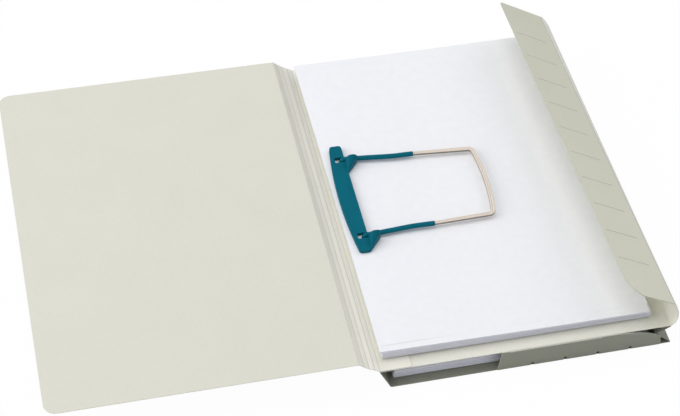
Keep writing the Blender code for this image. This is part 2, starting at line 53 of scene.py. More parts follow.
ORIGIN_Y = 159.0
SHEET_LENGTH = 318.0
HALF_LENGTH = SHEET_LENGTH / 2
CARD = 0.5
GAP = 0.3
LAYER = CARD + GAP
SETBACK = 0.45
FOLDED_SETBACK = 1.2
PANEL_HEIGHT = 21.25
PANEL_RIGHT = 228.0
FLANGE_HEIGHT = PANEL_HEIGHT + LAYER
TAB_HEIGHT = PANEL_HEIGHT - LAYER
BACK_HEIGHT = CARD / 2
BACK_LEFT = 9.7
BACK_RIGHT = 231.0
WALL_CREASE_X = 0.2
GUSSET_FOLD = (217.2, 13.0)
COVER_WIDTH = 229.0
COVER_CORNER = 9.0
STRIP_WIDTH = 5.1
STRIP_SLOPES = (34.0, 32.0, 38.0, 44.0)
WALL_FRONT = ((0.0, 0.0), (2.2, 2.8), (3.4, 9.3), (2.2, 16.3), (-1.2, 25.3), (-2.6, 27.1))
WALL_BACK = ((0.0, 0.0), (1.0, 3.2), (0.4, 9.3), (-2.5, 16.3), (-8.6, 25.6), (-10.6, 27.1))
FLAP_WIDTH = 46.7
FLAP_RISE = 31.9
FLAP_CORNERS = (18.0, 3.0)
BOTTOM_FLAP = (92.2, 222.4)
BOTTOM_FLAP_CREASE = -0.8
NICK_COUNT = 4
NICK_FIRST = 119.7
NICK_SPACING = 26.0
NICK_WIDTH = 2.4
NICK_DEPTH = 2.0
PAPER_WIDTH = 210.0
PAPER_LENGTH = 297.0
PAPER_LEFT = 2.2
PAPER_BOTTOM = 10.0
PUNCH_OFFSET = 0.7
HOLE_MARGIN = 13.0
HOLE_SPACING = 80.0
PAPER_HOLE = 6.0
FILED_BASE = 22.6
FILED_THICKNESS = 10.2
FILED_TURN = -0.1
TOP_SHEET_BASE = 33.1
TOP_SHEET_THICKNESS = 0.25
LOOSE_LEFT = 13.2
LOOSE_BOTTOM = 7.2
LOOSE_WIDTH = 200.0
LOOSE_BASE = 0.8
LOOSE_THICKNESS = 12.0
CLIP_X = PAPER_LEFT + HOLE_MARGIN
CLIP_Y = PAPER_BOTTOM + PAPER_LENGTH / 2 - PUNCH_OFFSET
ARM_HEIGHT = 36.65
ARM_BEND = (6.8, 40.2)
ARM_END = 57.2
TUBE_FOOT = 19.2
TUBE_DIAMETER = 4.0
BORE = 2.6
BORE_DEPTH = 16.5
SPIGOT = 2.0
SPIGOT_LENGTH = 15.0
BOW_TURN = -1.1
BOW_LEG = 37.2
BOW_TAPER = 2.4
BOW_REACH = 50.4
BOW_SAG = 3.0
BOW_CORNER = 3.5
BOW_WIDTH = 3.8
BOW_THICKNESS = 2.4

# Sizes in millimetres, turns in degrees and counts that only the looks have.
COVER_BOW = 0.35
COVER_COLUMNS = 24
STRIP_COLUMNS = 4
WALL_COLUMNS = 30
FLAP_COLUMNS = 12
RULE_COLUMNS = 4
LINE_COLUMNS = 2
RIM_COLUMNS = 8
LEAF_COLUMNS = 24
CREASE_COLUMNS = 6
FLAP_CREASE_COLUMNS = 8
GROOVE = 0.55
SHALLOW_GROOVE = 0.3
TOLERANCE = 1e-6
FINE_PITCH = 9.0
COARSE_PITCH = 40.0
WALL_SHARES = (0.025, 0.965)
WALL_BLEND = (0.3, 0.4)
FLAP_BLEND = ((-0.1, -0.35), (-0.35, 0.2))
FILM = 0.05
RULE_LIFT = 0.02
LINE_LIFT = 0.03
RULE_FIRST = 36.0
RULE_SPACING = 27.4
RULE_COUNT = 10
RULE_WIDTH = 0.65
RULE_MARGINS = (4.2, 9.8)
FLANGE_EDGE = 24.35
FLANGE_LINE = 0.7
INNER_FOLD = 0.75
INNER_FOLD_SIDES = 12
FOLD_INSET = 0.5
BOTTOM_FLAP_TOP = 22.0
FLAP_FALL = (172.0, 11.0)
FLAP_FALL_STEPS = 16
FLAP_FALL_POWER = 3
FLAP_SLANT = 1.6
FLAP_SIDE_INSET = 1.2
FLAP_SIDE_CORNER = 2.4
FLAP_CORNER_STEPS = 5
BOTTOM_FLAP_HIGHLIGHT_STRIP = (100.0, 172.0, 21.2, 22.0)
NICK_SHADOW_RADIUS = 1.25
NICK_SHADOW_HEIGHT = 2.8
NICK_SHADOW_SIDES = 16
FILED_SHEETS = 26
FILED_SLIP = 0.16
FILED_SKEW = 0.0009
LOOSE_SHEETS = 30
LOOSE_SLIP = 0.25
LOOSE_SKEW = 0.001
SHEET_FILL = 0.93
SHEET_POINTS = (0.0, 0.55, 0.7, 0.8, 0.9, 1.0)
HOLE_SIDES = 16
STACK_SAG = 1.2
SAG_POWER = 1.5
BASE_DROP = 0.9
BASE_DROP_RATE = 3
CURL_HEIGHT = 0.9
CURL_START = 0.55
CURL_MIDDLE = 0.6
CURL_SWING = 0.4
CURL_WAVE = 60.0
FAN_DEPTH = 0.35
STACK_FAN = 0.25
STACK_SLIP = 0.5
STACK_SIDE_SLIP = 1.4
STACK_NEAR = -0.6
UNDERCUT = 1.5
UNDERCUT_DEPTH = 0.93
TOP_LEAF_MOVE = (-0.8, 4.8)
TOP_LEAF_TURN = 0.45
TOP_LEAF_THICKNESS = 0.12
TOP_LEAF_DROP = 0.36
TOP_LEAF_DROP_START = 55.0
TOP_LEAF_DROP_RUN = 60.0
ELBOW_RADIUS = 2.6
ELBOW_BLEND = 1.3
ARM_RADIUS = 5.0
TUBE_SIDES = 20
TUBE_PITCH = 1.2
TUBE_CHAMFER = 0.2
TUBE_TIP = 0.12
BOW_LEG_WIDTH = 3.0
BOW_LEG_RUN = 40.0
BOW_SPANS = 6
BOW_BEND = 2.0
BOW_STEPS = 6
BOW_PITCH = 3.0
SPIGOT_SIDES = 16
SPIGOT_OVERLAP = 1.0
SOFT_EDGE = 0.35
SOFT_EDGE_ANGLE = 40.0
SOFT_EDGE_STEPS = 3

# Half of the bow's section, in shares of half its width and thickness, and its side faces, which get painted
# shade.
BOW_PROFILE = (
    (0.16, 0.62), (0.3, 1.0), (0.72, 1.0), (0.93, 0.72), (1.0, 0.2), (1.0, -0.3), (0.88, -0.82), (0.6, -1.0)
)
BOW_SHADED_SIDES = (3, 4, 5, 9, 10, 11)

chance = random.Random(7)
looks = bpy.data.collections.new("looks")
bpy.context.scene.collection.children.link(looks)


def at(x, y, z):
    """A point of the sheet's frame in metres of the shared frame."""
    return Vector(((x - ORIGIN_X) * MM, (y - ORIGIN_Y) * MM, z * MM))


def lerp(a, b, share):
    """A value some share of the way from one to another."""
    return a + (b - a) * share


def within(value):
    """The value, held between nought and one."""
    return max(0.0, min(1.0, value))


# Materials. Patterns are in object space, in metres, so a piece keeps its own grain when it moves.
class Look:
    """A material under construction: its nodes, links and shader."""

    def __init__(self, name, roughness):
        self.material = bpy.data.materials.new(name)
        self.material.use_nodes = True
        self.tree = self.material.node_tree
        self.shader = self.tree.nodes["Principled BSDF"]
        self.shader.inputs["Roughness"].default_value = roughness
        self.place = self.tree.nodes.new("ShaderNodeTexCoord").outputs["Object"]

    def add(self, kind, **settings):
        node = self.tree.nodes.new(kind)
        for key, value in settings.items():
            setattr(node, key, value)
        return node

    def link(self, source, target):
        self.tree.links.new(source, target)

    def noise(self, scale, detail, stretch=(1, 1, 1), roughness=0.55):
        """A noise pattern; stretch squeezes it along each axis."""
        mapping = self.add("ShaderNodeMapping")
        mapping.inputs["Scale"].default_value = stretch
        self.link(self.place, mapping.inputs["Vector"])
        noise = self.add("ShaderNodeTexNoise")
        noise.inputs["Scale"].default_value = scale
        noise.inputs["Detail"].default_value = detail
        noise.inputs["Roughness"].default_value = roughness
        self.link(mapping.outputs["Vector"], noise.inputs["Vector"])
        return noise.outputs["Fac"]

    def ramp(self, source, *stops):
        """Two colours along a 0 to 1 value, each with its position."""
        ramp = self.add("ShaderNodeValToRGB")
        for element, (position, colour) in zip(ramp.color_ramp.elements, stops):
            element.position = position
            element.color = (*colour, 1.0)
        self.link(source, ramp.inputs["Fac"])
        return ramp.outputs["Color"]

    def mix(self, factor, first, second, blend="MIX"):
        """Two colours mixed; each value is a socket, a colour or a number."""
        node = self.add("ShaderNodeMix", data_type="RGBA", blend_type=blend)
        for socket, value in ((node.inputs[0], factor), (node.inputs[6], first), (node.inputs[7], second)):
            if isinstance(value, bpy.types.NodeSocket):
                self.link(value, socket)
            elif isinstance(value, tuple):
                socket.default_value = (*value, 1.0)
            else:
                socket.default_value = value
        return node.outputs[2]

    def bump(self, height, strength, distance):
        node = self.add("ShaderNodeBump")
        node.inputs["Strength"].default_value = strength
        node.inputs["Distance"].default_value = distance
        self.link(height, node.inputs["Height"])
        self.link(node.outputs["Normal"], self.shader.inputs["Normal"])

    def colour(self, socket):
        self.link(socket, self.shader.inputs["Base Color"])
        return self.material

    def vary_roughness(self, source, low, high):
        grey = self.ramp(source, (0.3, (low,) * 3), (0.7, (high,) * 3))
        self.link(grey, self.shader.inputs["Roughness"])

    def gloss(self, level):
        self.shader.inputs["Specular IOR Level"].default_value = level


def shade(colour, amount):
    """A colour made lighter or darker."""
    return tuple(min(1.0, c * amount) for c in colour)


def card_look(name, colour, far_shade=1.0):
    """Uncoated filing board: cloudy tone, fibres, specks and a fine tooth; far_shade darkens its far end as
    painted shade.
    """
    look = Look(name, roughness=0.86)
    clouds = look.noise(scale=26, detail=4)
    cloud_tone = look.ramp(clouds, (0.3, shade(colour, 0.988)), (0.7, shade(colour, 1.01)))
    fibres = look.noise(scale=1500, detail=3, stretch=(1.0, 0.14, 1.0))
    fibre_tone = look.ramp(fibres, (0.35, (0.93, 0.93, 0.915)), (0.6, (1.0, 1.0, 1.0)))
    toned = look.mix(0.35, cloud_tone, fibre_tone, "MULTIPLY")
    dots = look.noise(scale=900, detail=1, stretch=(1.0, 0.6, 1.0))
    specks = look.ramp(dots, (0.74, (0, 0, 0)), (0.79, (0.5, 0.5, 0.5)))
    final = look.mix(specks, toned, shade(colour, 0.72))
    # Painted shade: the colour darkens towards the far end, standing in for the light falling off there.
    if far_shade < 1.0:
        parts = look.add("ShaderNodeSeparateXYZ")
        look.link(look.place, parts.inputs["Vector"])
        along = look.add("ShaderNodeMapRange")
        along.inputs["From Min"].default_value = -ORIGIN_Y * MM
        along.inputs["From Max"].default_value = ORIGIN_Y * MM
        look.link(parts.outputs["Y"], along.inputs["Value"])
        far_end_shade = look.ramp(along.outputs["Result"], (0.0, (1.0, 1.0, 1.0)), (1.0, (far_shade,) * 3))
        final = look.mix(1.0, final, far_end_shade, "MULTIPLY")
    look.vary_roughness(look.noise(scale=300, detail=2), low=0.8, high=0.92)
    tooth = look.noise(scale=2600, detail=4, stretch=(1.0, 0.35, 1.0))
    look.bump(tooth, strength=0.22, distance=0.00012)
    look.gloss(0.25)
    return look.colour(final)


def edge_look(name, colour):
    """The cut edge of board, with the layers of its pulp showing."""
    look = Look(name, roughness=0.9)
    layers = look.noise(scale=900, detail=2, stretch=(0.15, 0.15, 5.0))
    tone = look.ramp(layers, (0.3, shade(colour, 0.9)), (0.7, shade(colour, 1.1)))
    look.bump(layers, strength=0.3, distance=0.0001)
    return look.colour(tone)


def paper_look(name, colour):
    """Office paper: nearly even, with faint formation clouds and a soft surface."""
    look = Look(name, roughness=0.72)
    clouds = look.noise(scale=160, detail=4)
    tone = look.ramp(clouds, (0.3, shade(colour, 0.985)), (0.7, shade(colour, 1.012)))
    look.vary_roughness(look.noise(scale=420, detail=2), low=0.66, high=0.78)
    look.bump(look.noise(scale=3200, detail=3), strength=0.1, distance=0.00006)
    look.gloss(0.3)
    return look.colour(tone)


def stack_edge_look(name, colour):
    """The side of a pile of paper: thin darker lines between sheets."""
    look = Look(name, roughness=0.85)
    lines = look.noise(scale=1.0, detail=2, stretch=(14, 14, 7000))
    tone = look.ramp(lines, (0.36, shade(colour, 0.86)), (0.56, colour))
    look.bump(lines, strength=0.35, distance=0.0001)
    return look.colour(tone)


def plastic_look(name, colour, roughness, mottle, gloss):
    """Moulded plastic: slight flow streaks, a fine spark-eroded grain and a satin sheen."""
    look = Look(name, roughness)
    streaks = look.noise(scale=90, detail=3, stretch=(1.0, 0.4, 1.0))
    tone = look.ramp(streaks, (0.3, shade(colour, 1 - mottle)), (0.7, shade(colour, 1 + mottle)))
    look.vary_roughness(look.noise(scale=700, detail=2), roughness - 0.06, roughness + 0.08)
    look.bump(look.noise(scale=3800, detail=2), strength=0.07, distance=0.00008)
    look.gloss(gloss)
    return look.colour(tone)


CARD_COLOUR = (0.72, 0.71, 0.615)
# Painted light: the panel and side wall are the cover's card drawn lighter, to lift their shaded places.
PANEL_LIT_COLOUR = (0.80, 0.79, 0.695)
FLAP_COLOUR = (0.735, 0.735, 0.60)
# Painted light and shade: the spine strips are one card, each given its own tone for how the light falls on
# its slope.
SPINE_LIT_AND_SHADED_COLOURS = ((0.97, 0.95, 0.855), (0.98, 0.96, 0.86), (0.92, 0.895, 0.785), (0.86, 0.845, 0.745))
SCORE_COLOUR = (0.70, 0.69, 0.61)
# Painted shade: the fold between side wall and flap is drawn grey for its shaded side.
FOLD_SHADE_COLOUR = (0.50, 0.50, 0.49)
# Painted shade: the pocket's card is drawn much darker than the cover, for its dim inside and shaded front.
POCKET_SHADE_COLOUR = (0.32, 0.327, 0.262)
PAPER_COLOUR = (0.885, 0.889, 0.91)
# Painted light: the sheets' edges are drawn brighter and bluer than the paper, for bluish light on their
# shaded sides.
PAPER_EDGE_LIT_COLOUR = (0.94, 0.93, 1.0)
RULE_COLOUR = (0.50, 0.505, 0.43)
TEAL_COLOUR = (0.003, 0.125, 0.175)
CREAM_COLOUR = (0.75, 0.665, 0.575)

card_face = card_look("filing_card", CARD_COLOUR)
flap_face = card_look("flap_card", FLAP_COLOUR, far_shade=0.92)
panel_lit_face = card_look("panel_card_painted_light", PANEL_LIT_COLOUR)
# Painted light: the flange is drawn lighter still, against the shade beside the stack.
flange_lit_face = card_look("flange_card_painted_light", shade(PANEL_LIT_COLOUR, 1.05))
fold_shade_face = card_look("folded_rim_painted_shade", FOLD_SHADE_COLOUR)
spine_shaded_faces = []
for number, colour in enumerate(SPINE_LIT_AND_SHADED_COLOURS, start=1):
    spine_shaded_faces.append(card_look(f"spine_card_painted_light_and_shade_{number}", colour, far_shade=0.86))
card_edge = edge_look("filing_card_edge", CARD_COLOUR)
# Painted shade: the flap's cut edge is darkened so it does not catch the light.
flap_edge_shade = edge_look("flap_card_edge_painted_shade", shade(FLAP_COLOUR, 0.68))
card_score = card_look("scored_card", SCORE_COLOUR)
pocket_shade_face = card_look("pocket_card", POCKET_SHADE_COLOUR)
pocket_score = card_look("scored_pocket_card", shade(POCKET_SHADE_COLOUR, 0.9))
rule_ink = card_look("ruled_line", RULE_COLOUR)
# Painted shadow: a darker strip for the shadow line beside the flange's edge.
painted_flange_shadow = card_look("painted_flange_shadow", shade(PANEL_LIT_COLOUR, 0.86))
# Painted highlight: a pale copy of the panel card for the bottom flap's cut edges and a strip along its top.
rim_highlight_face = card_look("painted_highlight_rim", shade(PANEL_LIT_COLOUR, 0.8))
# Painted shadow: a near-black card for the darkness inside each nick.
nick_shade = card_look("nick_shade", shade(POCKET_SHADE_COLOUR, 0.15))
paper_face = paper_look("office_paper", PAPER_COLOUR)
paper_edge_lit = stack_edge_look("paper_edges_painted_light", PAPER_EDGE_LIT_COLOUR)
# Painted shade: the filed stack's edges are drawn darker than the loose sheets' edges.
filed_edge_shade = stack_edge_look("filed_paper_edges_painted_shade", shade(PAPER_EDGE_LIT_COLOUR, 0.89))
teal_plastic = plastic_look("teal_plastic", TEAL_COLOUR, roughness=0.42, mottle=0.06, gloss=0.05)
# Painted shade: a dark copy of the bow's cream for its side faces.
bow_side_shade = plastic_look("bow_side_shade", shade(CREAM_COLOUR, 0.36), roughness=0.5, mottle=0.05, gloss=0.2)
cream_plastic = plastic_look("cream_plastic", CREAM_COLOUR, roughness=0.42, mottle=0.03, gloss=0.3)


# Mesh builders.
def piece(name, verts, faces, materials, slots=None, smooth=None):
    """A mesh object from points in metres; slots gives each face's material, smooth each face's shading."""
    mesh = bpy.data.meshes.new(name)
    mesh.from_pydata([tuple(v) for v in verts], [], faces)
    for material in materials:
        mesh.materials.append(material)
    for index, polygon in enumerate(mesh.polygons):
        polygon.material_index = slots[index] if slots else 0
        polygon.use_smooth = smooth[index] if smooth else False
    obj = bpy.data.objects.new(name, mesh)
    looks.objects.link(obj)
    work = bmesh.new()
    work.from_mesh(mesh)
    bmesh.ops.recalc_face_normals(work, faces=work.faces)
    for edge in work.edges:
        edge.smooth = all(face.smooth for face in edge.link_faces)
    work.to_mesh(mesh)
    work.free()
    return obj


def finished(name, work, materials):
    """A mesh object from a mesh under construction, its faces turned outwards."""
    bmesh.ops.recalc_face_normals(work, faces=work.faces)
    mesh = bpy.data.meshes.new(name)
    work.to_mesh(mesh)
    work.free()
    for material in materials:
        mesh.materials.append(material)
    obj = bpy.data.objects.new(name, mesh)
    looks.objects.link(obj)
    return obj


def carry(obj, body, slot, *nodes):
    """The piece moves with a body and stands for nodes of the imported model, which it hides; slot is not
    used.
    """
    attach(obj, body)
    if nodes:
        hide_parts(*nodes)


def bend(obj, first, second, start, end, slot, *nodes):
    """The piece bends across the joint between two bodies, from one point to another."""
    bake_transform(obj)
    if nodes:
        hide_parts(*nodes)


def board(name, stations, columns, surface, materials, thickness=CARD):
    """A sheet over a grid: surface(share, y) gives its middle, and thickness may be a function of share."""
    rows = [[at(*surface(c / columns, y)) for c in range(columns + 1)] for y in stations]
    last_row = len(rows) - 1
    verts = []
    for side in (0.5, -0.5):
        for r, row in enumerate(rows):
            for c, point in enumerate(row):
                along = rows[min(r + 1, last_row)][c] - rows[max(r - 1, 0)][c]
                across = row[min(c + 1, columns)] - row[max(c - 1, 0)]
                thick = thickness(c / columns) if callable(thickness) else thickness
                verts.append(point + across.cross(along).normalized() * (thick * side * MM))
    width = columns + 1
    under = len(rows) * width
    faces = []
    for r in range(last_row):
        for c in range(columns):
            a = r * width + c
            faces.append((a, a + 1, a + width + 1, a + width))
            faces.append((under + a, under + a + width, under + a + width + 1, under + a + 1))
    flat = len(faces)
    rim = [c for c in range(columns)]
    rim += [r * width + columns for r in range(last_row)]
    rim += [last_row * width + c for c in range(columns, 0, -1)]
    rim += [r * width for r in range(last_row, 0, -1)]
    for index, a in enumerate(rim):
        b = rim[(index + 1) % len(rim)]
        faces.append((a, under + a, under + b, b))
    sides = len(faces) - flat
    return piece(name, verts, faces, materials, [0] * flat + [1] * sides, [True] * flat + [False] * sides)


def ring_points(x, y, radius, count):
    """Points round a circle."""
    angles = [2 * math.pi * k / count for k in range(count)]
    return [(x + radius * math.cos(angle), y + radius * math.sin(angle)) for angle in angles]


def rod(name, ring, near, far, material, smooth_sides):
    """A straight rod along Y, whose outline in X and Z is the ring."""
    count = len(ring)
    verts = [at(x, y, z) for y in (near, far) for x, z in ring]
    faces = [tuple(range(count)), tuple(range(count, 2 * count))]
    for k in range(count):
        after = (k + 1) % count
        faces.append((k, after, count + after, count + k))
    return piece(name, verts, faces, [material], None, [False] * 2 + [smooth_sides] * count)


def plate(name, outline, near, far, materials):
    """A flat plate across Y, whose outline in X and Z is given; its rim has the second material."""
    work = bmesh.new()
    sides = []
    for y in (near, far):
        loop = [work.verts.new(at(x, y, z)) for x, z in outline]
        sides.append(loop)
        rim = [work.edges.new((loop[k - 1], loop[k])) for k in range(len(loop))]
        bmesh.ops.triangle_fill(work, edges=rim, use_beauty=True)
    for k in range(len(outline)):
        face = work.faces.new((sides[0][k - 1], sides[0][k], sides[1][k], sides[1][k - 1]))
        face.material_index = 1
    return finished(name, work, materials)


def inset(distance, radius):
    """How far a rounded corner draws the side in, at a distance from the end."""
    if distance >= radius:
        return 0.0
    return radius - math.sqrt(max(0.0, radius**2 - (radius - distance) ** 2))


def stations_for(near, far, near_radius=0.0, far_radius=0.0, pitch=12.0, steps=9):
    """Places along a sheet, closer together round its rounded corners."""
    turn = [(1 - math.cos(math.pi / 2 * k / steps)) for k in range(steps)]
    first = [near + near_radius * t for t in turn] if near_radius else [near]
    last = [far - far_radius * t for t in turn][::-1] if far_radius else [far]
    start, end = near + near_radius, far - far_radius
    count = max(2, round((end - start) / pitch))
    middle = [start + (end - start) * k / count for k in range(count + 1)]
    inner = [y for y in middle if first[-1] + TOLERANCE < y < last[0] - TOLERANCE]
    return first + inner + last


def crease(
    name,
    front,
    back,
    materials,
    near=0.0,
    far=SHEET_LENGTH,
    groove=GROOVE,
    columns=CREASE_COLUMNS,
    along_x=False,
):
    """A scored fold: a strip bent from the first to the last of three points, thinner along its middle."""
    def surface(share, y):
        part = (y - near) / (far - near)
        points = [Vector(a).lerp(Vector(b), part) for a, b in zip(front, back)]
        u, v = points[0].lerp(points[1], share).lerp(points[1].lerp(points[2], share), share)
        return (y, u, v) if along_x else (u, y, v)

    def thick(share):
        return CARD * (1 - groove * math.sin(math.pi * share) ** 2)

    return board(name, stations_for(near, far, pitch=COARSE_PITCH), columns, surface, materials, thick)


def straight_crease(name, start, corner, end, materials):
    """A scored fold that is the same all along."""
    profile = [start, corner, end]
    return crease(name, profile, profile, materials)


def toward(point, other, distance):
    """The place at a distance from one point on the way to another."""
    step = (Vector(other) - Vector(point)).normalized() * distance
    return tuple(Vector(point) + step)


# Front cover and spine.
creases = [(0.0, FLANGE_HEIGHT)]
for slope in STRIP_SLOPES:
    x, z = creases[-1]
    rise = math.radians(slope)
    creases.append((x - STRIP_WIDTH * math.cos(rise), z + STRIP_WIDTH * math.sin(rise)))
cover_x, cover_z = creases[-1]


def cover_surface(share, y):
    """The cover, very slightly bowed."""
    left = cover_x - COVER_WIDTH + inset(min(y, SHEET_LENGTH - y), COVER_CORNER)
    x = lerp(left, cover_x - SETBACK, share)
    return x, y, cover_z + COVER_BOW * math.sin(math.pi * y / SHEET_LENGTH) * math.sin(math.pi * share)


cover_stations = stations_for(0.0, SHEET_LENGTH, COVER_CORNER, COVER_CORNER)
cover = board("cover_board", cover_stations, COVER_COLUMNS, cover_surface, [card_face, card_edge])
carry(cover, "cover", "card", "front_cover")

strip_stations = stations_for(0.0, SHEET_LENGTH, pitch=COARSE_PITCH)
for index, face in enumerate(spine_shaded_faces):
    (x0, z0), (x1, z1) = creases[index], creases[index + 1]

    def strip_surface(share, y):
        part = lerp(1 - SETBACK / STRIP_WIDTH, SETBACK / STRIP_WIDTH, share)
        return lerp(x0, x1, part), y, lerp(z0, z1, part)

    name = f"spine_board_{index + 1}"
    strip = board(name, strip_stations, STRIP_COLUMNS, strip_surface, [face, card_edge])
    carry(strip, f"spine_{index + 1}", "card", f"spine_strip_{index + 1}")

spine_bodies = ["panel", "spine_1", "spine_2", "spine_3", "spine_4", "cover"]
flange_side = (creases[0][0] + STRIP_WIDTH, FLANGE_HEIGHT)
cover_side = (cover_x - STRIP_WIDTH, cover_z)
fold_points = [flange_side] + creases + [cover_side]
for index, corner in enumerate(creases):
    before = toward(corner, fold_points[index], SETBACK)
    after = toward(corner, fold_points[index + 2], SETBACK)
    fold = straight_crease(f"spine_crease_{index + 1}", after, corner, before, [card_score, card_edge])
    start = (before[0], ORIGIN_Y, before[1])
    end = (after[0], ORIGIN_Y, after[1])
    bend(fold, spine_bodies[index], spine_bodies[index + 1], start, end, "card")


# Side wall and closing flap.
def curve_at(points, share):
    """A place on the smooth curve through the points, share of the way along its spans."""
    spans = len(points) - 1
    index = min(int(share * spans), spans - 1)
    t = share * spans - index
    ends = [Vector(points[0]) * 2 - Vector(points[1])] + [Vector(p) for p in points]
    ends.append(Vector(points[-1]) * 2 - Vector(points[-2]))
    a, b, c, d = ends[index : index + 4]
    return (b * 2 + (c - a) * t + (a * 2 - b * 5 + c * 4 - d) * t**2 + (b * 3 - a - c * 3 + d) * t**3) / 2


def wall_surface(share, y):
    """The bowed side wall, leaning further in towards its far end."""
    part = lerp(WALL_SHARES[0], WALL_SHARES[1], 1 - share)
    here = curve_at(WALL_FRONT, part).lerp(curve_at(WALL_BACK, part), y / SHEET_LENGTH)
    return PANEL_RIGHT + here.x, y, PANEL_HEIGHT + here.y


def wall_point(profile, share):
    """A place on one end of the wall, in X and Z."""
    here = curve_at(profile, share)
    return (PANEL_RIGHT + here.x, PANEL_HEIGHT + here.y)


wall_stations = stations_for(0.0, SHEET_LENGTH)
wall = board("side_wall_board", wall_stations, WALL_COLUMNS, wall_surface, [panel_lit_face, card_edge])
carry(wall, "side_wall", "card", "side_wall")

front_top, back_top = WALL_FRONT[-1], WALL_BACK[-1]
fold_x = PANEL_RIGHT + (front_top[0] + back_top[0]) / 2
fold_z = PANEL_HEIGHT + (front_top[1] + back_top[1]) / 2
flap_skew = math.atan2(front_top[0] - back_top[0], SHEET_LENGTH)
flap_matrix = (
    Matrix.Translation((fold_x, ORIGIN_Y, fold_z))
    @ Matrix.Rotation(flap_skew, 4, "Z")
    @ Matrix.Rotation(math.radians(FLAP_RISE), 4, "Y")
)


def flap_point(across, along, lift=0.0):
    """A place on the flap, from the middle of its fold."""
    return tuple(flap_matrix @ Vector((across, along, lift)))


def flap_surface(share, along):
    """The flap, from its rounded free edge to its fold."""
    near = inset(along + HALF_LENGTH, FLAP_CORNERS[0])
    far = inset(HALF_LENGTH - along, FLAP_CORNERS[1])
    return flap_point(lerp(-FLAP_WIDTH + max(near, far), -SETBACK, share), along)


def rule_surface(share, along):
    """A ruled line, just clear of the flap."""
    across = lerp(-FLAP_WIDTH + RULE_MARGINS[0], -RULE_MARGINS[1], share)
    return flap_point(across, along, CARD / 2 + RULE_LIFT)


flap_stations = stations_for(-HALF_LENGTH, HALF_LENGTH, *FLAP_CORNERS)
flap = board("closing_flap_board", flap_stations, FLAP_COLUMNS, flap_surface, [flap_face, flap_edge_shade])
carry(flap, "flap", "card", "closing_flap")
for index in range(RULE_COUNT):
    middle = HALF_LENGTH - RULE_FIRST - RULE_SPACING * index
    rule_stations = [middle - RULE_WIDTH / 2, middle + RULE_WIDTH / 2]
    name = f"ruled_line_{index + 1}"
    rule = board(name, rule_stations, RULE_COLUMNS, rule_surface, [rule_ink, rule_ink], FILM)
    carry(rule, "flap", "card")

foot = [(PANEL_RIGHT - SETBACK, PANEL_HEIGHT), (PANEL_RIGHT, PANEL_HEIGHT)]
wall_fold = crease(
    "side_wall_crease",
    foot + [wall_point(WALL_FRONT, WALL_SHARES[0])],
    foot + [wall_point(WALL_BACK, WALL_SHARES[0])],
    [panel_lit_face, card_edge],
    groove=SHALLOW_GROOVE,
)
bend(
    wall_fold,
    "panel",
    "side_wall",
    (PANEL_RIGHT - SETBACK, ORIGIN_Y, PANEL_HEIGHT),
    (PANEL_RIGHT + WALL_BLEND[0], ORIGIN_Y, PANEL_HEIGHT + WALL_BLEND[1]),
    "card",
)
ends = []
for profile, along in ((WALL_FRONT, -HALF_LENGTH), (WALL_BACK, HALF_LENGTH)):
    edge = flap_point(-SETBACK, along)
    top = (PANEL_RIGHT + profile[-1][0], PANEL_HEIGHT + profile[-1][1])
    ends.append([(edge[0], edge[2]), top, wall_point(profile, WALL_SHARES[1])])
flap_fold = crease(
    "closing_flap_crease",
    *ends,
    [fold_shade_face, card_edge],
    groove=SHALLOW_GROOVE,
    columns=FLAP_CREASE_COLUMNS,
)
blend_start, blend_end = [(fold_x + x, ORIGIN_Y, fold_z + z) for x, z in FLAP_BLEND]
bend(flap_fold, "side_wall", "flap", blend_start, blend_end, "card")

# Rear pocket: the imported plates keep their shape, and scored folds join them.
pocket_materials = [pocket_score, pocket_score]
wall_base = (BACK_LEFT, BACK_HEIGHT)
wall_top = (WALL_CREASE_X, TAB_HEIGHT)
wall_start = (BACK_LEFT + SETBACK, BACK_HEIGHT)
wall_rise = toward(wall_base, wall_top, SETBACK)
wall_foot = straight_crease("pocket_wall_foot", wall_start, wall_base, wall_rise, pocket_materials)
carry(wall_foot, "pocket", "pocket_card")

tab_start = toward(wall_top, wall_base, SETBACK + GAP)
tab_end = (WALL_CREASE_X + SETBACK, TAB_HEIGHT)
wall_head = straight_crease("pocket_wall_head", tab_start, wall_top, tab_end, pocket_materials)
bend(
    wall_head,
    "pocket",
    "panel",
    (tab_start[0], ORIGIN_Y, tab_start[1]),
    (tab_end[0], ORIGIN_Y, tab_end[1]),
    "pocket_card",
)

gusset_base = (BACK_RIGHT, BACK_HEIGHT)
gusset_start = toward(gusset_base, GUSSET_FOLD, FOLDED_SETBACK)
gusset_back = (BACK_RIGHT - SETBACK, BACK_HEIGHT)
gusset_foot = straight_crease("gusset_foot", gusset_start, gusset_base, gusset_back, pocket_materials)
bend(
    gusset_foot,
    "pocket",
    "gusset_lower",
    (BACK_RIGHT, ORIGIN_Y, BACK_HEIGHT),
    (gusset_start[0], ORIGIN_Y, gusset_start[1]),
    "pocket_card",
)

gusset_top = (PANEL_RIGHT, TAB_HEIGHT)
gusset_end = toward(gusset_top, GUSSET_FOLD, FOLDED_SETBACK)
gusset_tab = (PANEL_RIGHT - SETBACK, TAB_HEIGHT)
gusset_head = straight_crease("gusset_head", gusset_tab, gusset_top, gusset_end, pocket_materials)
bend(
    gusset_head,
    "panel",
    "gusset_upper",
    (PANEL_RIGHT, ORIGIN_Y, TAB_HEIGHT),
    (gusset_end[0], ORIGIN_Y, gusset_end[1]),
    "pocket_card",
)

# A round bead closes the gusset's inner fold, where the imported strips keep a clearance.
bead = ring_points(*GUSSET_FOLD, INNER_FOLD, INNER_FOLD_SIDES)
inner_fold = rod("gusset_inner_fold", bead, 0.0, SHEET_LENGTH, pocket_score, smooth_sides=True)
carry(inner_fold, "gusset_lower", "pocket_card")

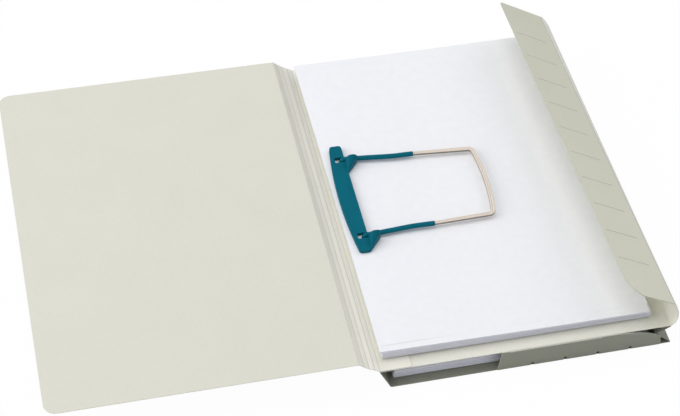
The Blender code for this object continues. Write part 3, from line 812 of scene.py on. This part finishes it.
# Bottom flap: nicks along its crease, and a top edge that falls away in a long curve towards the right.
nicks = [NICK_FIRST + index * NICK_SPACING for index in range(NICK_COUNT)]
flap_foot = BACK_HEIGHT + SETBACK
flap_front = BOTTOM_FLAP_CREASE - CARD / 2
flap_back = BOTTOM_FLAP_CREASE + CARD / 2
flap_profile = [
    (BOTTOM_FLAP_CREASE, flap_foot),
    (BOTTOM_FLAP_CREASE, BACK_HEIGHT),
    (BOTTOM_FLAP_CREASE + SETBACK, BACK_HEIGHT),
]
run_ends = [BOTTOM_FLAP[0] + FOLD_INSET]
for nick in nicks:
    run_ends += [nick - NICK_WIDTH / 2, nick + NICK_WIDTH / 2]
run_ends.append(BOTTOM_FLAP[1] - FOLD_INSET)
for index in range(NICK_COUNT + 1):
    bottom_fold = crease(
        f"bottom_flap_crease_{index + 1}",
        flap_profile,
        flap_profile,
        pocket_materials,
        run_ends[2 * index],
        run_ends[2 * index + 1],
        along_x=True,
    )
    bend(
        bottom_fold,
        "pocket",
        "bottom_flap",
        (ORIGIN_X, BOTTOM_FLAP_CREASE + SETBACK, BACK_HEIGHT),
        (ORIGIN_X, BOTTOM_FLAP_CREASE, flap_foot),
        "pocket_card",
    )


def flap_top(x):
    """The height of the bottom flap's top edge."""
    fallen = max(0.0, (x - FLAP_FALL[0]) / (BOTTOM_FLAP[1] - FLAP_FALL[0]))
    return BOTTOM_FLAP_TOP - FLAP_FALL[1] * fallen**FLAP_FALL_POWER


def bottom_flap_outline():
    """The bottom flap seen from the near side, from the left end of its foot and round to its top."""
    outline = [(BOTTOM_FLAP[0], flap_foot)]
    for nick in nicks:
        left, right = nick - NICK_WIDTH / 2, nick + NICK_WIDTH / 2
        top = flap_foot + NICK_DEPTH
        outline += [(left, flap_foot), (left, top), (right, top), (right, flap_foot)]
    outline.append((BOTTOM_FLAP[1], flap_foot))
    side_x = BOTTOM_FLAP[1] - FLAP_SIDE_INSET
    for k in range(FLAP_CORNER_STEPS + 1):
        angle = math.pi / 2 * k / FLAP_CORNER_STEPS
        x = side_x - FLAP_SIDE_CORNER * (1 - math.cos(angle))
        outline.append((x, flap_top(side_x) - FLAP_SIDE_CORNER * (1 - math.sin(angle))))
    fall_start = outline[-1][0]
    for k in range(1, FLAP_FALL_STEPS + 1):
        x = lerp(fall_start, FLAP_FALL[0], k / FLAP_FALL_STEPS)
        outline.append((x, flap_top(x)))
    outline.append((BOTTOM_FLAP[0] + FLAP_SLANT, BOTTOM_FLAP_TOP))
    return outline


plate_materials = [pocket_shade_face, rim_highlight_face]
flap_plate = plate("bottom_flap_plate", bottom_flap_outline(), flap_front, flap_back, plate_materials)
carry(flap_plate, "bottom_flap", "pocket_card", "bottom_flap")


# The glued flange's edge gets a painted shadow line on the panel, each nick a painted shadow disc, and the
# bottom flap's top a painted highlight strip.
def flange_line_surface(share, y):
    return lerp(FLANGE_EDGE, FLANGE_EDGE + FLANGE_LINE, share), y, PANEL_HEIGHT + CARD / 2 + LINE_LIFT


def rim_surface(share, z):
    left, right = BOTTOM_FLAP_HIGHLIGHT_STRIP[:2]
    return lerp(left, right, share), flap_front - LINE_LIFT, z


line_stations = [0.0, HALF_LENGTH, SHEET_LENGTH]
line_materials = [painted_flange_shadow, painted_flange_shadow]
flange_line = board(
    "flange_painted_shadow_line", line_stations, LINE_COLUMNS, flange_line_surface, line_materials, FILM
)
carry(flange_line, "panel", "card")
# A near-black disc at each nick: painted shadow.
for number, nick in enumerate(nicks, start=1):
    ring = ring_points(nick, NICK_SHADOW_HEIGHT, NICK_SHADOW_RADIUS, NICK_SHADOW_SIDES)
    near, far = flap_front - FILM, flap_front + FILM
    nick_shadow_disc = rod(f"nick_painted_shadow_{number}", ring, near, far, nick_shade, smooth_sides=False)
    carry(nick_shadow_disc, "bottom_flap", "pocket_card")
# A pale strip along the bottom flap's top: painted highlight.
rim_stations = BOTTOM_FLAP_HIGHLIGHT_STRIP[2:]
painted_highlight_rim = board("bottom_flap_rim", rim_stations, RIM_COLUMNS, rim_surface, [rim_highlight_face, rim_highlight_face], FILM)
carry(painted_highlight_rim, "bottom_flap", "pocket_card")


# Papers: piles of separate sheets whose edges don't quite line up. Holes place the filed ones.
def paper_matrix(base, turn):
    """The middle of the two punched holes, at the height of the sheet or of the pile's underside."""
    return Matrix.Translation((CLIP_X, CLIP_Y, base)) @ Matrix.Rotation(math.radians(turn), 4, "Z")


def settle(x, y, share):
    """The lift of the stack at this share of its height, negative as it sinks to its near right corner."""
    across = within(x / (PAPER_WIDTH - HOLE_MARGIN))
    along = within(0.5 - y / PAPER_LENGTH)
    return -BASE_DROP * min(1.0, BASE_DROP_RATE * across) - STACK_SAG * share * across**SAG_POWER * along


def curl(x, y):
    """How far the top of the stack curls up along its right side."""
    share = (x + HOLE_MARGIN) / PAPER_WIDTH
    rise = max(0.0, (share - CURL_START) / (1 - CURL_START)) ** 2
    return CURL_HEIGHT * rise * (CURL_MIDDLE - CURL_SWING * math.sin(y / CURL_WAVE))


def pile(name, box, base_matrix, thickness, count, slip, skew, holes, materials, fanned=False):
    """Sheets on each other, each moved and turned a little by chance; a fanned pile also sags and curls."""
    left, near, right, far = box
    pitch = thickness / count
    near_side = [(lerp(left, right, share), near) for share in SHEET_POINTS]
    outline = near_side + [(x, far) for x, y in reversed(near_side)]
    loops = [outline] + [ring_points(x, y, PAPER_HOLE / 2, HOLE_SIDES) for x, y in holes]
    work = bmesh.new()
    for index in range(count):
        depth = 1 - index / (count - 1)
        fan = min(1.0, depth / FAN_DEPTH) if fanned else 0.0
        turn = Matrix.Rotation(chance.gauss(0, skew) + math.radians(STACK_FAN) * fan, 4, "Z")
        sideways = STACK_SIDE_SLIP * fan
        along = STACK_NEAR + STACK_SLIP * fan if fanned else 0.0
        if fanned and depth > UNDERCUT_DEPTH:
            along += UNDERCUT
        move = Vector((chance.gauss(0, slip) + sideways, chance.gauss(0, slip) + along, index * pitch))
        leaf = base_matrix @ Matrix.Translation(move) @ turn
        levels = []
        for z in (0.0, pitch * SHEET_FILL):
            share = (index + z / pitch) / count
            level = []
            for loop in loops:
                lifts = [settle(x, y, share) + curl(x, y) * share**2 if fanned else 0.0 for x, y in loop]
                spots = [leaf @ Vector((x, y, z + lift)) for (x, y), lift in zip(loop, lifts)]
                level.append([work.verts.new(at(*spot)) for spot in spots])
            levels.append(level)
        for level in levels:
            edges = []
            for loop in level:
                edges += [work.edges.new((loop[k - 1], loop[k])) for k in range(len(loop))]
            bmesh.ops.triangle_fill(work, edges=edges, use_beauty=True)
        for low, high in zip(*levels):
            for k in range(len(low)):
                face = work.faces.new((low[k - 1], low[k], high[k], high[k - 1]))
                left_side = low is levels[0][0] and k == 0
                face.material_index = 0 if left_side else 1
    return finished(name, work, materials)


paper_near = PUNCH_OFFSET - PAPER_LENGTH / 2
paper_far = PUNCH_OFFSET + PAPER_LENGTH / 2
filed = pile(
    "filed_sheets",
    (-HOLE_MARGIN, paper_near, PAPER_WIDTH - HOLE_MARGIN, paper_far),
    paper_matrix(FILED_BASE, FILED_TURN),
    FILED_THICKNESS,
    FILED_SHEETS,
    FILED_SLIP,
    FILED_SKEW,
    [(0, HOLE_SPACING / 2), (0, -HOLE_SPACING / 2)],
    [paper_face, filed_edge_shade],
    fanned=True,
)
carry(filed, "panel", "paper", "filed_papers")
loose_middle = (LOOSE_LEFT + LOOSE_WIDTH / 2, LOOSE_BOTTOM + PAPER_LENGTH / 2, LOOSE_BASE)
loose = pile(
    "loose_sheets",
    (-LOOSE_WIDTH / 2, -PAPER_LENGTH / 2, LOOSE_WIDTH / 2, PAPER_LENGTH / 2),
    Matrix.Translation(loose_middle),
    LOOSE_THICKNESS,
    LOOSE_SHEETS,
    LOOSE_SLIP,
    LOOSE_SKEW,
    [],
    [paper_face, paper_edge_lit],
)
carry(loose, "loose_papers", "paper", "loose_papers")

top_matrix = paper_matrix(TOP_SHEET_BASE + TOP_SHEET_THICKNESS / 2, TOP_LEAF_TURN)
top_matrix = Matrix.Translation((*TOP_LEAF_MOVE, 0)) @ top_matrix


def top_surface(share, y):
    """The top sheet, curling with the stack and lying down on it towards its near end."""
    x = lerp(-HOLE_MARGIN, PAPER_WIDTH - HOLE_MARGIN, share)
    drop = TOP_LEAF_DROP * within((-y - TOP_LEAF_DROP_START) / TOP_LEAF_DROP_RUN)
    return tuple(top_matrix @ Vector((x, y, curl(x, y) - drop + settle(x, y, 1.0))))


leaf_stations = stations_for(paper_near, paper_far, pitch=FINE_PITCH)
leaf_materials = [paper_face, paper_face]
top_leaf = board(
    "top_leaf", leaf_stations, LEAF_COLUMNS, top_surface, leaf_materials, TOP_LEAF_THICKNESS
)
carry(top_leaf, "panel", "paper", "top_sheet")


# Clip: one bending tube for each prong, and the grooved bow.
def bow_point(along, across):
    """A place in the bow's plane, from the middle of the tubes' elbows."""
    turned = Matrix.Rotation(math.radians(BOW_TURN), 4, "Z") @ Vector((along, across, 0))
    return Vector((CLIP_X, CLIP_Y, ARM_HEIGHT)) + turned


def rounded_path(points, radii, steps=8):
    """A path with its corners rounded by arcs of about these radii."""
    path = [points[0]]
    for before, here, after, radius in zip(points, points[1:], points[2:], radii):
        back = (before - here).normalized() * radius
        ahead = (after - here).normalized() * radius
        for k in range(steps + 1):
            t = k / steps
            path.append((here + back).lerp(here, t).lerp(here.lerp(here + ahead, t), t))
    return path + [points[-1]]


def sweep(path, sections, up):
    """Rings of points along a path; sections gives each station's (sideways, upward) offsets."""
    rings = []
    for index, point in enumerate(path):
        tangent = (path[min(index + 1, len(path) - 1)] - path[max(index - 1, 0)]).normalized()
        side = tangent.cross(up).normalized()
        lift = side.cross(tangent)
        rings.append([point + side * u + lift * v for u, v in sections[index]])
    return rings


def tube_faces(count, around):
    """The faces between rings of points, each ring joined to the one before."""
    faces = []
    for low in range(0, (count - 1) * around, around):
        high = low + around
        for k in range(around):
            after = (k + 1) % around
            faces.append((low + k, low + after, high + after, high + k))
    return faces


def spaced(path, pitch):
    """The path with extra points, so that it can bend."""
    out = [path[0]]
    for a, b in zip(path, path[1:]):
        count = max(1, round((b - a).length / pitch))
        out += [a.lerp(b, k / count) for k in range(1, count + 1)]
    return out


def prong(number, side):
    """A tube from its foot under the panel, round its elbow and along the papers to its open bore."""
    tube_y = CLIP_Y + side * HOLE_SPACING / 2
    elbow = Vector((CLIP_X, tube_y, ARM_HEIGHT))
    knee = elbow + Vector((ARM_BEND[0], 0, 0))
    bent = bow_point(ARM_BEND[1], side * BOW_LEG)
    tip = bow_point(ARM_END, side * BOW_LEG)
    corners = [Vector((CLIP_X, tube_y, TUBE_FOOT)), elbow, knee, bent, tip]
    path = spaced(rounded_path(corners, (ELBOW_RADIUS, ARM_RADIUS, ARM_RADIUS)), TUBE_PITCH)
    radii = [TUBE_DIAMETER / 2] * len(path)
    radii[0] -= TUBE_CHAMFER
    bore_end = bow_point(ARM_END - BORE_DEPTH, side * BOW_LEG)
    outward = (tip - bore_end).normalized()
    straight = len(path) - 1
    path += [tip + outward * TUBE_TIP, tip, bore_end]
    radii += [TUBE_DIAMETER / 2 - TUBE_CHAMFER, BORE / 2, BORE / 2]
    verts = []
    for index, point in enumerate(path):
        ahead = outward if index >= straight else (path[index + 1] - path[max(index - 1, 0)]).normalized()
        across = (Vector((0, 1, 0)) - ahead * ahead.y).normalized()
        lift = across.cross(ahead)
        ring = ring_points(0, 0, radii[index], TUBE_SIDES)
        verts += [at(*(point + across * u + lift * v)) for u, v in ring]
    faces = tube_faces(len(path), TUBE_SIDES)
    smooth = [True] * len(faces) + [False] * 2
    faces.append(tuple(range(TUBE_SIDES)))
    faces.append(tuple(range(len(verts) - TUBE_SIDES, len(verts))))
    tube = piece(f"prong_tube_{number}", verts, faces, [teal_plastic], None, smooth)
    bend(
        tube,
        "panel",
        "clip_arms",
        (CLIP_X - ELBOW_BLEND, tube_y, ARM_HEIGHT - ELBOW_BLEND),
        (CLIP_X + ELBOW_BLEND, tube_y, ARM_HEIGHT + ELBOW_BLEND),
        "teal_plastic",
        f"tube_root_{number}",
        f"tube_arm_{number}",
    )


prong(1, 1)
prong(2, -1)


def bow_section(width):
    """A flat ribbon with rounded edges and a groove along its top."""
    right = [(u * width / 2, v * BOW_THICKNESS / 2) for u, v in BOW_PROFILE]
    return right + [(-u, v) for u, v in reversed(right)]


bow_up = Vector((0, 0, 1))
bow_start = ARM_END + GAP
reach = ARM_END + BOW_REACH - BOW_WIDTH / 2
leg_end = BOW_LEG - BOW_TAPER
corners = [bow_point(bow_start, -BOW_LEG), bow_point(reach, -leg_end)]
for k in range(1 - BOW_SPANS, BOW_SPANS):
    share = k / BOW_SPANS
    corners.append(bow_point(reach + BOW_SAG * (1 - share**2), leg_end * share))
corners += [bow_point(reach, leg_end), bow_point(bow_start, BOW_LEG)]
radii = [BOW_CORNER] + [BOW_BEND] * (2 * BOW_SPANS - 1) + [BOW_CORNER]
path = spaced(rounded_path(corners, radii, BOW_STEPS), BOW_PITCH)
lengths = [0.0]
for a, b in zip(path, path[1:]):
    lengths.append(lengths[-1] + (b - a).length)
sections = []
for length in lengths:
    leg_share = min(1.0, min(length, lengths[-1] - length) / BOW_LEG_RUN)
    sections.append(bow_section(lerp(BOW_LEG_WIDTH, BOW_WIDTH, leg_share)))
rings = sweep(path, sections, bow_up)
around = len(sections[0])
verts = [at(*p) for ring in rings for p in ring]
faces = tube_faces(len(rings), around)
slots = [1 if k % around in BOW_SHADED_SIDES else 0 for k in range(len(faces))]
smooth = [True] * len(faces)
faces += [tuple(range(around)), tuple(range(len(verts) - around, len(verts)))]
smooth += [False] * 2
for side in (1, -1):
    inner = bow_point(ARM_END - SPIGOT_LENGTH, side * BOW_LEG)
    outer = bow_point(bow_start + SPIGOT_OVERLAP, side * BOW_LEG)
    spigot = sweep([inner, outer], [ring_points(0, 0, SPIGOT / 2, SPIGOT_SIDES)] * 2, bow_up)
    base = len(verts)
    verts += [at(*p) for ring in spigot for p in ring]
    middle, end = base + SPIGOT_SIDES, base + 2 * SPIGOT_SIDES
    faces += [tuple(base + k for k in face) for face in tube_faces(2, SPIGOT_SIDES)]
    faces += [tuple(range(base, middle)), tuple(range(middle, end))]
    smooth += [True] * SPIGOT_SIDES + [False] * 2
slots += [0] * (len(faces) - len(slots))
bow = piece("bow", verts, faces, [cream_plastic, bow_side_shade], slots, smooth)
carry(bow, "bow", "cream_plastic", "u_bow")

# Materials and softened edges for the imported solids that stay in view.
pocket_nodes = ["back_cover", "pocket_wall", "pocket_wall_tab"]
pocket_nodes += ["gusset_lower", "gusset_upper", "gusset_tab"]
teal_nodes = ("clip_base", "compressor_bar")
kept = {
    flange_lit_face: ("spine_flange",),
    panel_lit_face: ("clip_panel",),
    pocket_shade_face: pocket_nodes,
    teal_plastic: teal_nodes,
}
for material, names in kept.items():
    for name in names:
        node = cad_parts[name]
        node.data.materials.clear()
        node.data.materials.append(material)
for name in teal_nodes:
    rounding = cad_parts[name].modifiers.new("softened edges", "BEVEL")
    rounding.width = SOFT_EDGE * MM
    rounding.segments = SOFT_EDGE_STEPS
    rounding.limit_method = "ANGLE"
    rounding.angle_limit = math.radians(SOFT_EDGE_ANGLE)

# Floor: pale card that looks white to the camera and in reflections, and keeps the object's shadow.
FLOOR_HALF = 4.0
FLOOR_LEVEL = -0.0003
FLOOR_TONE = (0.9, 0.9, 0.9, 1.0)
FLOOR_WHITE = 0.97

look = Look("floor", roughness=0.9)
look.shader.inputs["Base Color"].default_value = FLOOR_TONE
glow = look.add("ShaderNodeEmission")
rays = look.add("ShaderNodeLightPath")
seen = rays.outputs["Is Camera Ray"]
for kind in ("Is Glossy Ray", "Is Transmission Ray"):
    either = look.add("ShaderNodeMath", operation="MAXIMUM")
    look.link(seen, either.inputs[0])
    look.link(rays.outputs[kind], either.inputs[1])
    seen = either.outputs[0]
share = look.add("ShaderNodeMath", operation="MULTIPLY")
share.inputs[1].default_value = FLOOR_WHITE
look.link(seen, share.inputs[0])
whitened = look.add("ShaderNodeMixShader")
look.link(share.outputs[0], whitened.inputs[0])
look.link(look.shader.outputs[0], whitened.inputs[1])
look.link(glow.outputs[0], whitened.inputs[2])
look.link(whitened.outputs[0], look.tree.nodes["Material Output"].inputs["Surface"])
floor_corners = []
for x, y in ((-1, -1), (1, -1), (1, 1), (-1, 1)):
    floor_corners.append((x * FLOOR_HALF, y * FLOOR_HALF, FLOOR_LEVEL))
floor = piece("floor", floor_corners, [(0, 1, 2, 3)], [look.material])

# Light and camera, in metres and watts.
WORLD_COLOUR = (0.915, 0.948, 1.035, 1.0)
WORLD_STRENGTH = 0.44
CAMERA_LENS = 95.09
CAMERA_SENSOR = 36.0
CAMERA_PLACE = (-0.3683, -0.8947, 1.09781)
CAMERA_RIGHT = (0.97401, -0.22191, 0.04536)
CAMERA_UP = (0.1392, 0.74443, 0.65302)

scene = bpy.context.scene
scene.view_settings.view_transform = "Standard"
world = bpy.data.worlds.new("studio")
world.use_nodes = True
scene.world = world
background = world.node_tree.nodes["Background"]
background.inputs["Color"].default_value = WORLD_COLOUR
background.inputs["Strength"].default_value = WORLD_STRENGTH


def softbox(name, place, size, power, colour):
    """A soft lamp that faces the middle of the folder."""
    light = bpy.data.lights.new(name, "AREA")
    light.shape = "RECTANGLE"
    light.size, light.size_y = size
    light.energy = power
    light.color = colour
    lamp = bpy.data.objects.new(name, light)
    lamp.location = place
    lamp.rotation_euler = (-Vector(place)).to_track_quat("-Z", "Y").to_euler()
    scene.collection.objects.link(lamp)


softbox("key", place=(-0.5, 0.1, 2.0), size=(1.3, 1.3), power=13.0, colour=(1.0, 0.985, 0.955))
softbox("low", place=(-2.7, 0.1, 1.7), size=(2.6, 2.0), power=44.0, colour=(1.0, 0.985, 0.96))
softbox("side", place=(1.3, 0.4, 1.45), size=(1.6, 1.6), power=7.5, colour=(1.0, 0.985, 0.96))

camera_data = bpy.data.cameras.new("camera")
camera_data.sensor_fit = "HORIZONTAL"
camera_data.sensor_width = CAMERA_SENSOR
camera_data.lens = CAMERA_LENS
camera = bpy.data.objects.new("camera", camera_data)
right = Vector(CAMERA_RIGHT).normalized()
upward = Vector(CAMERA_UP).normalized()
turn = Matrix((right, upward, right.cross(upward))).transposed().to_4x4()
camera.matrix_world = Matrix.Translation(CAMERA_PLACE) @ turn
scene.collection.objects.link(camera)
scene.camera = camera
